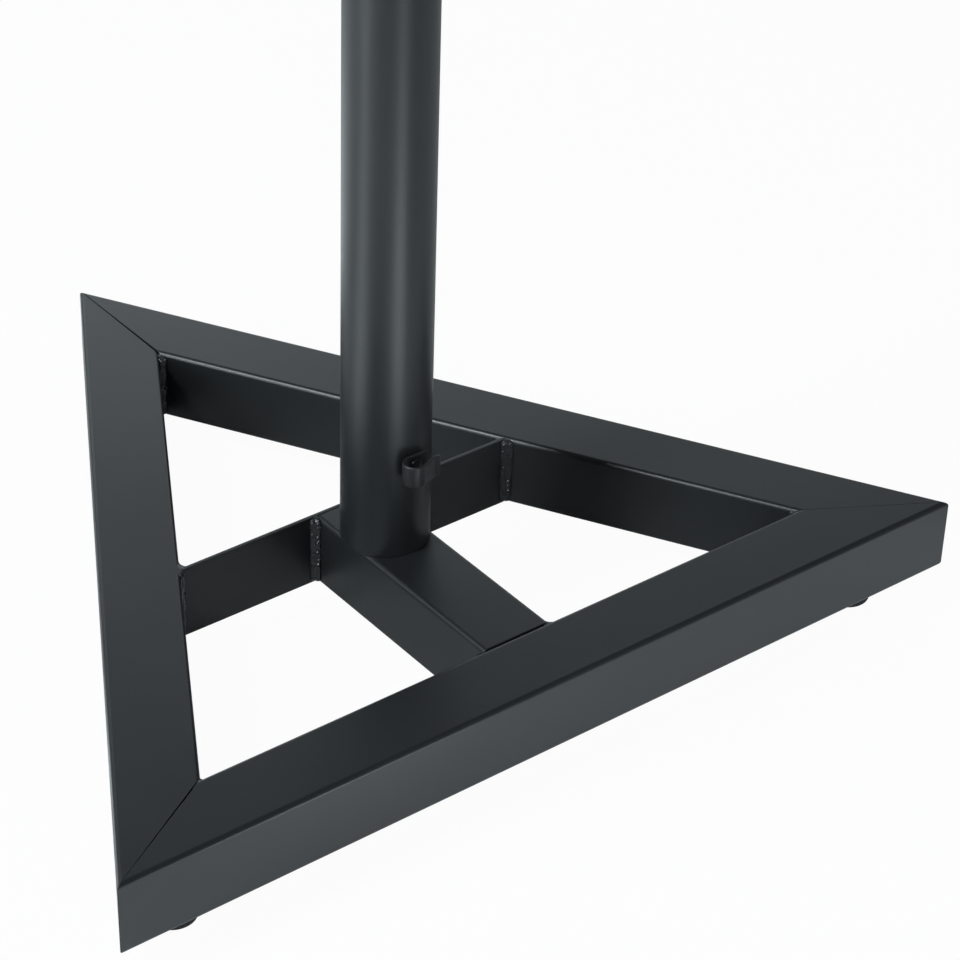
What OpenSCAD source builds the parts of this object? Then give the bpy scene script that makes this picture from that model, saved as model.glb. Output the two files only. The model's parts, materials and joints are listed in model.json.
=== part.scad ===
// Floor stand with a triangular welded tube base, a telescoping round pole and a tilting sign plate.
// Millimetres, +Z up, X along the front rail, +Y towards the rear corner, floor at z = 0.

/* [Base frame] */
// outer side length of the triangular base
side_length = 500; // [460:5:560]
// outside width and height of the square base tube
tube_size = 40; // [38:1:44]
// wall thickness of the base tube
tube_wall = 1.5; // [1:0.25:1.75]
// outside corner radius of the base tube
tube_corner = 2.5; // [2:0.25:4]
// distance from the front edge of the base to the front face of the cross plate
cross_plate_setback = 177; // [174:1:184]
// thickness of the cross plate
cross_plate_thickness = 2.5; // [2:0.5:4]
// fit-up gap left at every welded joint
weld_gap = 0.1; // [0.1:0.05:0.3]
// leg length of the weld beads
weld_leg = 3.5; // [3:0.5:5]
// distance that the weld beads stop short of the tube's top and bottom
weld_end = 0.5; // [0.5:0.5:4]

/* [Feet] */
// height of the rubber feet, from the floor to the tube
foot_height = 15.5; // [14:0.5:20]
// radius of the rubber feet
foot_radius = 12; // [11:0.5:13]
// edge radius at the bottom of the feet
foot_edge = 1.5; // [1:0.5:3]
// distance of each foot from its sharp base corner, along the corner's bisector
foot_corner_distance = 49; // [46:1:52]
// radius of the stem that pushes each foot into the tube
foot_stem_radius = 4; // [3:0.5:4.5]
// radius of the barb that holds each foot behind the tube wall
foot_barb_radius = 5.5; // [5:0.5:6]

/* [Pole] */
// outside diameter of the outer pole
pole_diameter = 45; // [43:1:47]
// wall thickness of the outer pole
pole_wall = 2; // [1.5:0.25:2.5]
// length of the outer pole
pole_length = 700; // [600:10:800]
// distance from the front edge of the base to the pole axis
pole_setback = 146; // [143:1:148]
// thickness of the threaded plug in the pole's foot
plug_thickness = 14; // [10:1:20]
// nominal diameter of the bolt that holds the pole down
pole_bolt_diameter = 10; // [8:1:12]
// outside diameter of the spacer tube that keeps the stem from crushing
spacer_diameter = 18; // [16:1:20]
// small clearance between pieces that are assembled and stay put
assembly_clearance = 0.05; // [0.03:0.01:0.1]
// radial clearance of the sliding and turning fits
running_clearance = 0.08; // [0.05:0.01:0.1]

/* [Cable clip] */
// height of the top of the clip above the top of the base tube
clip_top_height = 59.5; // [50:0.5:200]
// height of the clip band
clip_band_height = 11.5; // [10:0.5:14]
// thickness of the clip band
clip_thickness = 1.8; // [1.6:0.1:2]
// outside radius of the clip's closed bend
clip_bend_radius = 6.2; // [6:0.1:6.8]
// angle of the clip's front leg towards the pole, in degrees
clip_leg_angle = 21; // [18:1:23]
// length of the clip's front leg
clip_front_length = 9.5; // [9:0.5:11]
// length of the flared lip at the clip's mouth
clip_lip_length = 3; // [2.5:0.5:4]
// radius of the rivet that the clip turns on
clip_rivet_radius = 1.6; // [1.5:0.1:2]

/* [Clamp] */
// outside diameter of the clamp collar
collar_diameter = 56; // [54:1:60]
// height of the clamp collar
collar_height = 50; // [46:1:60]
// depth of the guide sleeve inside the outer pole
sleeve_depth = 60; // [55:1:80]
// thickness of the sleeve's rim on top of the pole
sleeve_rim = 3; // [2:0.5:4]
// radius of the clamp boss on the collar
boss_radius = 11; // [10:0.5:12]
// distance from the pole axis to the end of the clamp boss
boss_reach = 40; // [38:1:44]
// nominal diameter of the clamp stud
stud_diameter = 8; // [6:1:8]
// radius of the pressure shoe
shoe_radius = 6; // [5.5:0.5:7]
// radius of the clamp knob
knob_radius = 21; // [18:1:25]
// length of the clamp knob
knob_length = 20; // [16:1:24]
// number of lobes on the clamp knob
knob_lobes = 6; // [5:1:8]

/* [Mast] */
// outside diameter of the inner pole
mast_diameter = 35; // [34:1:36]
// wall thickness of the inner pole
mast_wall = 1.5; // [1.5:0.25:2]
// length of the inner pole
mast_length = 600; // [550:10:650]
// height of the inner pole's top above the base tube, at rest
mast_rise = 950; // [930:5:970]
// height of the guide ring under the inner pole
guide_height = 16; // [12:1:24]
// depth of the plugs inside the inner pole
mast_plug_depth = 34; // [30:1:40]

/* [Tilting head] */
// height of the tilt pivot above the inner pole's top
pivot_rise = 38; // [36:1:44]
// radius of the fork's rounded ears
ear_radius = 14; // [13:0.5:15]
// thickness of each fork ear
ear_thickness = 5; // [4:0.5:6]
// thickness of the tongue between the ears
tongue_thickness = 10; // [8:0.5:11]
// thickness of each friction washer beside the tongue
friction_washer_thickness = 1.5; // [1:0.1:2]
// nominal diameter of the pivot bolt
pivot_bolt_diameter = 8; // [6:1:8]
// distance from the tilt pivot to the back of the sign plate
plate_offset = 36; // [34:1:40]
// width of the sign plate
plate_width = 200; // [160:5:240]
// height of the sign plate
plate_height = 150; // [130:5:160]
// thickness of the sign plate
plate_thickness = 3; // [2:0.5:4]
// corner radius of the sign plate
plate_corner = 12; // [8:1:20]
// spacing of the four sign fixing holes, both ways
sign_hole_spacing = 100; // [75:25:100]
// radius of the sign fixing holes
sign_hole_radius = 2.75; // [2.25:0.25:3.25]

/* [Hidden] */
$fn = 64;

// plan of the base triangle
triangle_height = side_length * sqrt(3) / 2;
front_edge = -triangle_height / 2;
centre_y = front_edge + triangle_height / 3;
corner_run = tube_size * sqrt(3);
inner_half = side_length / 2 - corner_run;
tube_bottom = foot_height;
tube_top = tube_bottom + tube_size;
tube_middle = tube_bottom + tube_size / 2;
bead_bottom = tube_bottom + weld_end;
bead_height = tube_size - 2 * weld_end;
overshoot = 1;

// cross plate and stem
cross_plate_front = front_edge + cross_plate_setback;
cross_plate_back = cross_plate_front + cross_plate_thickness;
inner_front = front_edge + tube_size;
inner_apex = front_edge + triangle_height - 2 * tube_size;
half_slope = 1 / sqrt(3);

// pole
pole_y = front_edge + pole_setback;
pole_radius = pole_diameter / 2;
pole_bore = pole_radius - pole_wall;
pole_top = tube_top + pole_length;
bolt_radius = pole_bolt_diameter / 2;
bolt_hole_radius = bolt_radius + 0.5;
washer_thickness = 2;
washer_radius = 12;
bolt_head_height = 6;
bolt_head_radius = 9.8;

// clip
clip_top = tube_top + clip_top_height;
clip_middle = clip_top - clip_band_height / 2;
clip_gap = 0.1;
clip_back = -pole_radius - clip_gap;
clip_bend_y = clip_back - clip_bend_radius;
clip_bend_x = -4;
clip_back_reach = 11.5;
clip_inner_radius = clip_bend_radius - clip_thickness;
clip_mid_radius = clip_bend_radius - clip_thickness / 2;
clip_lip_angle = -14;
clip_bend_steps = 36;
rivet_head_radius = 3.2;
rivet_head_height = 0.9;
rivet_tail_radius = 2.4;
rivet_tail_height = 1.6;

// clamp
collar_radius = collar_diameter / 2;
collar_top = pole_top + sleeve_rim;
collar_bottom = collar_top - collar_height;
clamp_height = collar_bottom + collar_height / 2;
stud_radius = stud_diameter / 2;
insert_radius = stud_radius + 2.2;
insert_length = 10;
shoe_face = mast_diameter / 2 + running_clearance;
shoe_length = 4.6;
stud_tip = shoe_face + shoe_length;
shoe_pocket_end = stud_tip + 3;
knob_start = boss_reach + 4;
knob_neck_radius = 9;
knob_neck_length = 3.5;
scallop_radius = 7;
scallop_distance = knob_radius + 3.5;
collar_screw_radius = 2.5;
collar_screw_head = 4.5;
collar_screw_head_height = 2.5;

// mast and head
mast_radius = mast_diameter / 2;
mast_bore = mast_radius - mast_wall;
mast_top = tube_top + mast_rise;
mast_bottom = mast_top - mast_length;
guide_radius = pole_bore - running_clearance;
plug_radius = mast_bore - assembly_clearance;
pivot_height = mast_top + pivot_rise;
cap_height = 6;
fork_gap = tongue_thickness + 2 * friction_washer_thickness + 2 * running_clearance;
ear_outside = fork_gap / 2 + ear_thickness;
pivot_radius = pivot_bolt_diameter / 2;
pivot_head_radius = 7.2;
pivot_head_height = 5;
pivot_nut_height = 6.5;
pivot_nut_radius = 7.5;
tongue_radius = 12;
friction_washer_radius = 12;
bracket_flange = 54;
bracket_flange_thickness = 4;
bracket_screw_spacing = 36;
plate_screw_radius = 2.5;
plate_screw_head = 4.6;
plate_screw_head_height = 2.6;
fork_screw_radius = 2.5;
fork_screw_head = 4.5;
fork_screw_head_height = 2.4;
fork_screw_drop = 16;
fork_screw_length = 9;

// rounded square cross section of the base tube
module rounded_square(size, corner) {
    square([size - 2 * corner, size], center = true);
    square([size, size - 2 * corner], center = true);
    for (sx = [-1, 1]) for (sy = [-1, 1])
        translate([sx * (size / 2 - corner), sy * (size / 2 - corner)]) circle(corner);
}

// square tube along X, centred on its own axis
module tube_along_x(length) {
    rotate([90, 0, 90]) linear_extrude(length, center = true) difference() {
        rounded_square(tube_size, tube_corner);
        rounded_square(tube_size - 2 * tube_wall, tube_corner - tube_wall);
    }
}

// turns a piece of the front side about the triangle's centre, to another side
module to_side(angle) {
    translate([0, centre_y, 0]) rotate([0, 0, angle]) translate([0, -centre_y, 0]) children();
}

// plan point of the foot at the front left corner
foot_x = -side_length / 2 + foot_corner_distance * cos(30);
foot_y = front_edge + foot_corner_distance * sin(30);

// one mitred side of the base, drawn as the front side
module mitred_rail() {
    gap_run = weld_gap;
    difference() {
        intersection() {
            translate([0, front_edge + tube_size / 2, tube_middle]) tube_along_x(side_length);
            translate([0, 0, tube_bottom - overshoot]) linear_extrude(tube_size + 2 * overshoot)
                polygon([[-side_length / 2 + gap_run, front_edge], [side_length / 2 - gap_run, front_edge],
                    [inner_half - gap_run, inner_front], [-inner_half + gap_run, inner_front]]);
        }
        for (sx = [-1, 1])
            translate([sx * foot_x, foot_y, tube_bottom - overshoot])
                cylinder(h = tube_wall + 2 * overshoot, r = foot_stem_radius + assembly_clearance);
    }
}

module front_rail() {
    color([0.05, 0.05, 0.055]) mitred_rail();
}

module right_rail() {
    color([0.05, 0.05, 0.055]) to_side(120) mitred_rail();
}

module left_rail() {
    color([0.05, 0.05, 0.055]) to_side(-120) mitred_rail();
}

// square stem from the front rail to the cross plate, drilled for the pole bolt
module stem_tube() {
    stem_front = inner_front + weld_gap;
    stem_length = cross_plate_front - weld_gap - stem_front;
    color([0.05, 0.05, 0.055]) difference() {
        translate([0, stem_front + stem_length / 2, tube_middle]) rotate([0, 0, 90]) tube_along_x(stem_length);
        translate([0, pole_y, tube_bottom - overshoot])
            cylinder(h = tube_size + 2 * overshoot, r = bolt_hole_radius);
    }
}

// flat bar on edge from the left rail to the right rail, its ends cut to the rails
module cross_plate() {
    front_half = (inner_apex - cross_plate_front) * half_slope - weld_gap;
    back_half = (inner_apex - cross_plate_back) * half_slope - weld_gap;
    color([0.05, 0.05, 0.055]) translate([0, 0, tube_bottom]) linear_extrude(tube_size)
        polygon([[-front_half, cross_plate_front], [front_half, cross_plate_front],
            [back_half, cross_plate_back], [-back_half, cross_plate_back]]);
}

// upright fillet bead in a corner that opens by the given angle from the +X direction
module corner_bead(angle) {
    linear_extrude(bead_height)
        polygon([[0, 0], [weld_leg, 0], [weld_leg * cos(angle), weld_leg * sin(angle)]]);
}

module mitre_welds() {
    color([0.07, 0.07, 0.075]) for (turn = [0, 120, -120])
        to_side(turn) translate([-inner_half, inner_front, bead_bottom]) corner_bead(60);
}

module cross_plate_welds() {
    front_end = (inner_apex - cross_plate_front) * half_slope;
    back_end = (inner_apex - cross_plate_back) * half_slope;
    color([0.07, 0.07, 0.075]) for (flip = [0, 1]) mirror([flip, 0, 0]) {
        translate([-front_end, cross_plate_front, bead_bottom]) corner_bead(-120);
        translate([-back_end, cross_plate_back, bead_bottom]) corner_bead(60);
    }
}

module stem_welds() {
    color([0.07, 0.07, 0.075]) for (flip = [0, 1]) mirror([flip, 0, 0]) {
        translate([-tube_size / 2, cross_plate_front, bead_bottom]) rotate([0, 0, 180]) corner_bead(90);
        translate([-tube_size / 2, inner_front, bead_bottom]) rotate([0, 0, 90]) corner_bead(90);
    }
}

// round rubber foot with a barbed stem that pushes into the base tube
module rubber_foot() {
    stem_height = tube_wall + assembly_clearance;
    barb_height = 5;
    rotate_extrude() {
        square([foot_radius - foot_edge, foot_height]);
        translate([0, foot_edge]) square([foot_radius, foot_height - foot_edge]);
        translate([foot_radius - foot_edge, foot_edge]) circle(foot_edge);
    }
    translate([0, 0, foot_height - overshoot]) cylinder(h = stem_height + 2 * overshoot, r = foot_stem_radius);
    translate([0, 0, foot_height + stem_height])
        cylinder(h = barb_height, r1 = foot_barb_radius, r2 = foot_stem_radius - 1);
}

module left_foot() {
    color([0.03, 0.03, 0.03]) translate([foot_x, foot_y, 0]) rubber_foot();
}

module right_foot() {
    color([0.03, 0.03, 0.03]) translate([-foot_x, foot_y, 0]) rubber_foot();
}

module rear_foot() {
    rear_y = front_edge + triangle_height - foot_corner_distance;
    color([0.03, 0.03, 0.03]) translate([0, rear_y, 0]) rubber_foot();
}

// tube inside the stem that takes the squeeze of the pole bolt
module stem_spacer() {
    spacer_length = tube_size - 2 * tube_wall - 2 * assembly_clearance;
    color([0.6, 0.6, 0.6]) translate([0, pole_y, tube_bottom + tube_wall + assembly_clearance]) difference() {
        cylinder(h = spacer_length, r = spacer_diameter / 2);
        translate([0, 0, -overshoot]) cylinder(h = spacer_length + 2 * overshoot, r = bolt_hole_radius);
    }
}

module pole_bolt_washer() {
    color([0.6, 0.6, 0.6]) translate([0, pole_y, tube_bottom - washer_thickness]) difference() {
        cylinder(h = washer_thickness, r = washer_radius);
        translate([0, 0, -overshoot]) cylinder(h = washer_thickness + 2 * overshoot, r = bolt_hole_radius);
    }
}

// hexagon bolt from under the stem into the plug in the pole
module pole_bolt() {
    head_bottom = tube_bottom - washer_thickness - bolt_head_height;
    shank_length = bolt_head_height + washer_thickness + tube_size + plug_thickness - 2;
    color([0.6, 0.6, 0.6]) translate([0, pole_y, head_bottom]) {
        cylinder(h = bolt_head_height, r = bolt_head_radius, $fn = 6);
        cylinder(h = shank_length, r = bolt_radius);
    }
}

module outer_pole() {
    color([0.05, 0.05, 0.055]) translate([0, pole_y, tube_top]) difference() {
        cylinder(h = pole_length, r = pole_radius);
        translate([0, 0, -overshoot]) cylinder(h = pole_length + 2 * overshoot, r = pole_bore);
        translate([0, 0, clamp_height - tube_top]) rotate([-90, 0, 0])
            cylinder(h = pole_diameter, r = shoe_radius + 2 * running_clearance);
        translate([0, 0, clamp_height - tube_top]) rotate([90, 0, 0])
            cylinder(h = pole_diameter, r = collar_screw_radius + assembly_clearance);
        translate([0, 0, clip_middle - tube_top]) rotate([90, 0, 0])
            cylinder(h = pole_diameter, r = clip_rivet_radius + assembly_clearance);
    }
}

// threaded steel plug fixed in the pole's foot
module pole_plug() {
    color([0.6, 0.6, 0.6]) translate([0, pole_y, tube_top]) difference() {
        cylinder(h = plug_thickness, r = pole_bore - assembly_clearance);
        translate([0, 0, -overshoot])
            cylinder(h = plug_thickness + 2 * overshoot, r = bolt_radius + assembly_clearance);
    }
}

// plan of the clip band: back leg, closed bend, slanting front leg and flared lip
module clip_plan() {
    half = clip_thickness / 2;
    bend = [clip_bend_x, clip_bend_y];
    sweep = 180 + clip_leg_angle;
    leg_way = [cos(clip_leg_angle), sin(clip_leg_angle)];
    lip_way = [cos(clip_lip_angle), sin(clip_lip_angle)];
    lip_side = [-sin(clip_lip_angle), cos(clip_lip_angle)];
    leg_start = bend + clip_mid_radius * [sin(clip_leg_angle), -cos(clip_leg_angle)];
    knee = leg_start + clip_front_length * leg_way;
    knee_angle = (clip_leg_angle + clip_lip_angle) / 2;
    knee_half = half / cos((clip_leg_angle - clip_lip_angle) / 2);
    knee_side = knee_half * [-sin(knee_angle), cos(knee_angle)];
    lip_end = knee + clip_lip_length * lip_way;
    outside = [for (i = [0 : clip_bend_steps])
        bend + clip_bend_radius * [cos(90 + sweep * i / clip_bend_steps), sin(90 + sweep * i / clip_bend_steps)]];
    inside = [for (i = [clip_bend_steps : -1 : 0])
        bend + clip_inner_radius * [cos(90 + sweep * i / clip_bend_steps), sin(90 + sweep * i / clip_bend_steps)]];
    polygon(concat([[clip_bend_x + clip_back_reach, clip_back]], outside,
        [knee - knee_side, lip_end - half * lip_side, lip_end + half * lip_side, knee + knee_side],
        inside, [[clip_bend_x + clip_back_reach, clip_back - clip_thickness]]));
}

module cable_clip() {
    color([0.04, 0.04, 0.04]) translate([0, pole_y, 0]) difference() {
        translate([0, 0, clip_top - clip_band_height]) linear_extrude(clip_band_height) clip_plan();
        translate([0, clip_back + overshoot, clip_middle]) rotate([90, 0, 0])
            cylinder(h = clip_thickness + 2 * overshoot, r = clip_rivet_radius + running_clearance);
    }
}

// blind rivet through the clip's back leg and the pole wall
module clip_rivet() {
    head_face = clip_back - clip_thickness - clip_gap;
    tail_face = -pole_radius + pole_wall + 0.3;
    color([0.5, 0.5, 0.5]) translate([0, pole_y, clip_middle]) rotate([90, 0, 0]) {
        translate([0, 0, -head_face]) cylinder(h = rivet_head_height, r = rivet_head_radius);
        translate([0, 0, -tail_face]) cylinder(h = tail_face - head_face + overshoot / 2, r = clip_rivet_radius);
        translate([0, 0, -tail_face - rivet_tail_height]) cylinder(h = rivet_tail_height, r = rivet_tail_radius);
    }
}

// plastic sleeve that guides the inner pole in the outer one
module guide_sleeve() {
    color([0.06, 0.06, 0.06]) translate([0, pole_y, pole_top - sleeve_depth]) difference() {
        union() {
            cylinder(h = sleeve_depth + overshoot, r = pole_bore - assembly_clearance);
            translate([0, 0, sleeve_depth]) cylinder(h = sleeve_rim, r = pole_radius);
        }
        translate([0, 0, -overshoot])
            cylinder(h = sleeve_depth + sleeve_rim + 2 * overshoot, r = mast_radius + running_clearance);
        translate([0, 0, clamp_height - pole_top + sleeve_depth]) rotate([-90, 0, 0])
            cylinder(h = pole_diameter, r = shoe_radius + 2 * running_clearance);
    }
}

// ring around the pole's top with a boss for the clamp screw
module clamp_collar() {
    color([0.06, 0.06, 0.06]) translate([0, pole_y, collar_bottom]) difference() {
        union() {
            cylinder(h = collar_height, r = collar_radius);
            translate([0, 0, collar_height / 2]) rotate([-90, 0, 0]) cylinder(h = boss_reach, r = boss_radius);
        }
        translate([0, 0, -overshoot])
            cylinder(h = collar_height + 2 * overshoot, r = pole_radius + assembly_clearance);
        translate([0, 0, collar_height / 2]) rotate([-90, 0, 0]) {
            cylinder(h = boss_reach + overshoot, r = stud_radius + 0.5);
            cylinder(h = shoe_pocket_end, r = shoe_radius + 2 * running_clearance);
            translate([0, 0, boss_reach - insert_length])
                cylinder(h = insert_length + overshoot, r = insert_radius + assembly_clearance);
        }
        translate([0, 0, collar_height / 2]) rotate([90, 0, 0]) {
            cylinder(h = collar_radius + overshoot, r = collar_screw_radius + assembly_clearance);
        }
    }
}

// screw that keeps the collar on the pole
module collar_screw() {
    tip = pole_bore + 0.2;
    color([0.5, 0.5, 0.5]) translate([0, pole_y, clamp_height]) rotate([90, 0, 0]) {
        translate([0, 0, tip]) cylinder(h = collar_radius - tip + overshoot, r = collar_screw_radius);
        translate([0, 0, collar_radius]) cylinder(h = collar_screw_head_height, r = collar_screw_head);
    }
}

// threaded metal insert in the collar's boss
module clamp_insert() {
    color([0.7, 0.6, 0.3]) translate([0, pole_y, clamp_height]) rotate([-90, 0, 0]) difference() {
        translate([0, 0, boss_reach - insert_length]) cylinder(h = insert_length, r = insert_radius);
        cylinder(h = boss_reach + overshoot, r = stud_radius + running_clearance);
    }
}

// shoe that the stud presses against the inner pole, hollowed to its curve
module pressure_shoe() {
    color([0.1, 0.1, 0.1]) translate([0, pole_y, clamp_height]) difference() {
        rotate([-90, 0, 0]) cylinder(h = stud_tip - running_clearance, r = shoe_radius);
        translate([0, 0, -2 * shoe_radius]) cylinder(h = 4 * shoe_radius, r = shoe_face);
    }
}

module clamp_stud() {
    stud_end = knob_start + knob_length - 6;
    color([0.6, 0.6, 0.6]) translate([0, pole_y, clamp_height]) rotate([-90, 0, 0])
        translate([0, 0, stud_tip]) cylinder(h = stud_end - stud_tip, r = stud_radius);
}

// lobed hand knob on the clamp stud
module clamp_knob() {
    bore_depth = knob_length - 6;
    color([0.04, 0.04, 0.04]) translate([0, pole_y, clamp_height]) rotate([-90, 0, 0])
        translate([0, 0, knob_start]) difference() {
            union() {
                cylinder(h = knob_neck_length + overshoot, r = knob_neck_radius);
                translate([0, 0, knob_neck_length]) cylinder(h = knob_length - knob_neck_length, r = knob_radius);
            }
            for (i = [0 : knob_lobes - 1]) rotate([0, 0, i * 360 / knob_lobes])
                translate([scallop_distance, 0, knob_neck_length - overshoot])
                    cylinder(h = knob_length + 2 * overshoot, r = scallop_radius);
            translate([0, 0, -overshoot]) cylinder(h = bore_depth + overshoot, r = stud_radius + assembly_clearance);
        }
}

module inner_pole() {
    color([0.05, 0.05, 0.055]) translate([0, pole_y, mast_bottom]) difference() {
        cylinder(h = mast_length, r = mast_radius);
        translate([0, 0, -overshoot]) cylinder(h = mast_length + 2 * overshoot, r = mast_bore);
        translate([0, 0, mast_length - fork_screw_drop]) rotate([0, 90, 0])
            cylinder(h = 2 * mast_diameter, r = fork_screw_radius + assembly_clearance, center = true);
    }
}

// plastic foot of the inner pole that slides in the outer pole
module mast_guide() {
    color([0.1, 0.1, 0.1]) translate([0, pole_y, mast_bottom]) {
        translate([0, 0, -guide_height]) cylinder(h = guide_height, r = guide_radius);
        translate([0, 0, -overshoot]) cylinder(h = mast_plug_depth + overshoot, r = plug_radius);
    }
}

// fork on top of the inner pole: plug, cap and two rounded ears
module head_fork() {
    color([0.05, 0.05, 0.055]) translate([0, pole_y, mast_top]) difference() {
        union() {
            translate([0, 0, -mast_plug_depth]) cylinder(h = mast_plug_depth + overshoot, r = plug_radius);
            cylinder(h = cap_height, r = mast_radius);
            for (sx = [-1, 1]) translate([sx * (fork_gap + ear_thickness) / 2, 0, 0]) {
                translate([-ear_thickness / 2, -ear_radius, cap_height - overshoot])
                    cube([ear_thickness, 2 * ear_radius, pivot_rise - cap_height + overshoot]);
                translate([0, 0, pivot_rise]) rotate([0, 90, 0])
                    cylinder(h = ear_thickness, r = ear_radius, center = true);
            }
        }
        translate([0, 0, pivot_rise]) rotate([0, 90, 0])
            cylinder(h = 2 * mast_diameter, r = pivot_radius + assembly_clearance, center = true);
        translate([0, 0, -fork_screw_drop]) rotate([0, 90, 0])
            cylinder(h = 2 * mast_diameter, r = fork_screw_radius + assembly_clearance, center = true);
    }
}

// two screws through the inner pole's wall into the fork's plug
module fork_screws() {
    color([0.5, 0.5, 0.5]) for (turn = [0, 180])
        translate([0, pole_y, mast_top - fork_screw_drop]) rotate([0, 90, turn]) {
            translate([0, 0, mast_radius - fork_screw_length])
                cylinder(h = fork_screw_length + overshoot, r = fork_screw_radius);
            translate([0, 0, mast_radius]) cylinder(h = fork_screw_head_height, r = fork_screw_head);
        }
}

module pivot_bolt() {
    shank_length = 2 * ear_outside + pivot_nut_height + 2;
    color([0.5, 0.5, 0.5]) translate([-ear_outside, pole_y, pivot_height]) rotate([0, 90, 0]) {
        translate([0, 0, -pivot_head_height]) cylinder(h = pivot_head_height, r = pivot_head_radius);
        translate([0, 0, -overshoot]) cylinder(h = shank_length + overshoot, r = pivot_radius);
    }
}

module pivot_nut() {
    color([0.5, 0.5, 0.5]) translate([ear_outside, pole_y, pivot_height]) rotate([0, 90, 0]) difference() {
        cylinder(h = pivot_nut_height, r = pivot_nut_radius, $fn = 6);
        translate([0, 0, -overshoot])
            cylinder(h = pivot_nut_height + 2 * overshoot, r = pivot_radius + assembly_clearance);
    }
}

// friction washers on both sides of the tongue
module friction_washers() {
    inner_face = tongue_thickness / 2 + running_clearance / 2;
    color([0.5, 0.5, 0.5]) for (flip = [0, 1])
        mirror([flip, 0, 0]) translate([inner_face, pole_y, pivot_height]) rotate([0, 90, 0]) difference() {
            cylinder(h = friction_washer_thickness, r = friction_washer_radius);
            translate([0, 0, -overshoot]) cylinder(h = friction_washer_thickness + 2 * overshoot,
                r = pivot_radius + assembly_clearance);
        }
}

// tongue with an eye for the pivot bolt and a square flange for the sign plate
module tilt_bracket() {
    flange_front = -plate_offset;
    flange_back = flange_front + bracket_flange_thickness;
    color([0.05, 0.05, 0.055]) translate([0, pole_y, pivot_height]) difference() {
        union() {
            rotate([0, 90, 0]) cylinder(h = tongue_thickness, r = tongue_radius, center = true);
            translate([-tongue_thickness / 2, flange_back - overshoot, -tongue_radius])
                cube([tongue_thickness, -flange_back + overshoot, 2 * tongue_radius]);
            translate([-bracket_flange / 2, flange_front, -bracket_flange / 2])
                cube([bracket_flange, bracket_flange_thickness, bracket_flange]);
        }
        rotate([0, 90, 0])
            cylinder(h = 2 * tongue_thickness, r = pivot_radius + running_clearance, center = true);
        for (sx = [-1, 1]) for (sz = [-1, 1])
            translate([sx * bracket_screw_spacing / 2, flange_back + overshoot, sz * bracket_screw_spacing / 2])
                rotate([90, 0, 0]) cylinder(h = bracket_flange_thickness + 2 * overshoot,
                    r = plate_screw_radius + assembly_clearance);
    }
}

// flat plate that carries the sign, with four corner holes for it
module sign_plate() {
    flat_width = plate_width - 2 * plate_corner;
    flat_tall = plate_height - 2 * plate_corner;
    color([0.05, 0.05, 0.055]) translate([0, pole_y - plate_offset, pivot_height]) rotate([90, 0, 0]) difference() {
        linear_extrude(plate_thickness) difference() {
            union() {
                square([flat_width, plate_height], center = true);
                square([plate_width, flat_tall], center = true);
                for (sx = [-1, 1]) for (sy = [-1, 1])
                    translate([sx * flat_width / 2, sy * flat_tall / 2]) circle(plate_corner);
            }
            for (sx = [-1, 1]) for (sy = [-1, 1])
                translate([sx * sign_hole_spacing / 2, sy * sign_hole_spacing / 2]) circle(sign_hole_radius);
        }
        for (sx = [-1, 1]) for (sy = [-1, 1])
            translate([sx * bracket_screw_spacing / 2, sy * bracket_screw_spacing / 2, 0]) {
                translate([0, 0, -overshoot])
                    cylinder(h = plate_thickness + 2 * overshoot, r = plate_screw_radius + assembly_clearance);
                translate([0, 0, plate_thickness - plate_screw_head_height])
                    cylinder(h = plate_screw_head_height, r1 = plate_screw_radius + assembly_clearance,
                        r2 = plate_screw_head + assembly_clearance);
            }
    }
}

// countersunk screws from the front of the sign plate into the bracket's flange
module plate_screws() {
    shank_length = bracket_flange_thickness + plate_thickness + 1;
    color([0.5, 0.5, 0.5]) for (sx = [-1, 1]) for (sz = [-1, 1])
        translate([sx * bracket_screw_spacing / 2, pole_y - plate_offset - plate_thickness,
            pivot_height + sz * bracket_screw_spacing / 2]) rotate([90, 0, 0]) {
            translate([0, 0, -plate_screw_head_height])
                cylinder(h = plate_screw_head_height, r1 = plate_screw_radius, r2 = plate_screw_head);
            translate([0, 0, -shank_length]) cylinder(h = shank_length - overshoot, r = plate_screw_radius);
        }
}

front_rail();
left_rail();
right_rail();
stem_tube();
cross_plate();
mitre_welds();
cross_plate_welds();
stem_welds();
left_foot();
right_foot();
rear_foot();
stem_spacer();
pole_bolt();
pole_bolt_washer();
outer_pole();
pole_plug();
cable_clip();
clip_rivet();
guide_sleeve();
clamp_collar();
collar_screw();
clamp_insert();
pressure_shoe();
clamp_stud();
clamp_knob();
inner_pole();
mast_guide();
head_fork();
fork_screws();
pivot_bolt();
pivot_nut();
friction_washers();
tilt_bracket();
sign_plate();
plate_screws();
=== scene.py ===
import json
import math
import random

import bpy
from mathutils import Matrix, Vector


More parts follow.
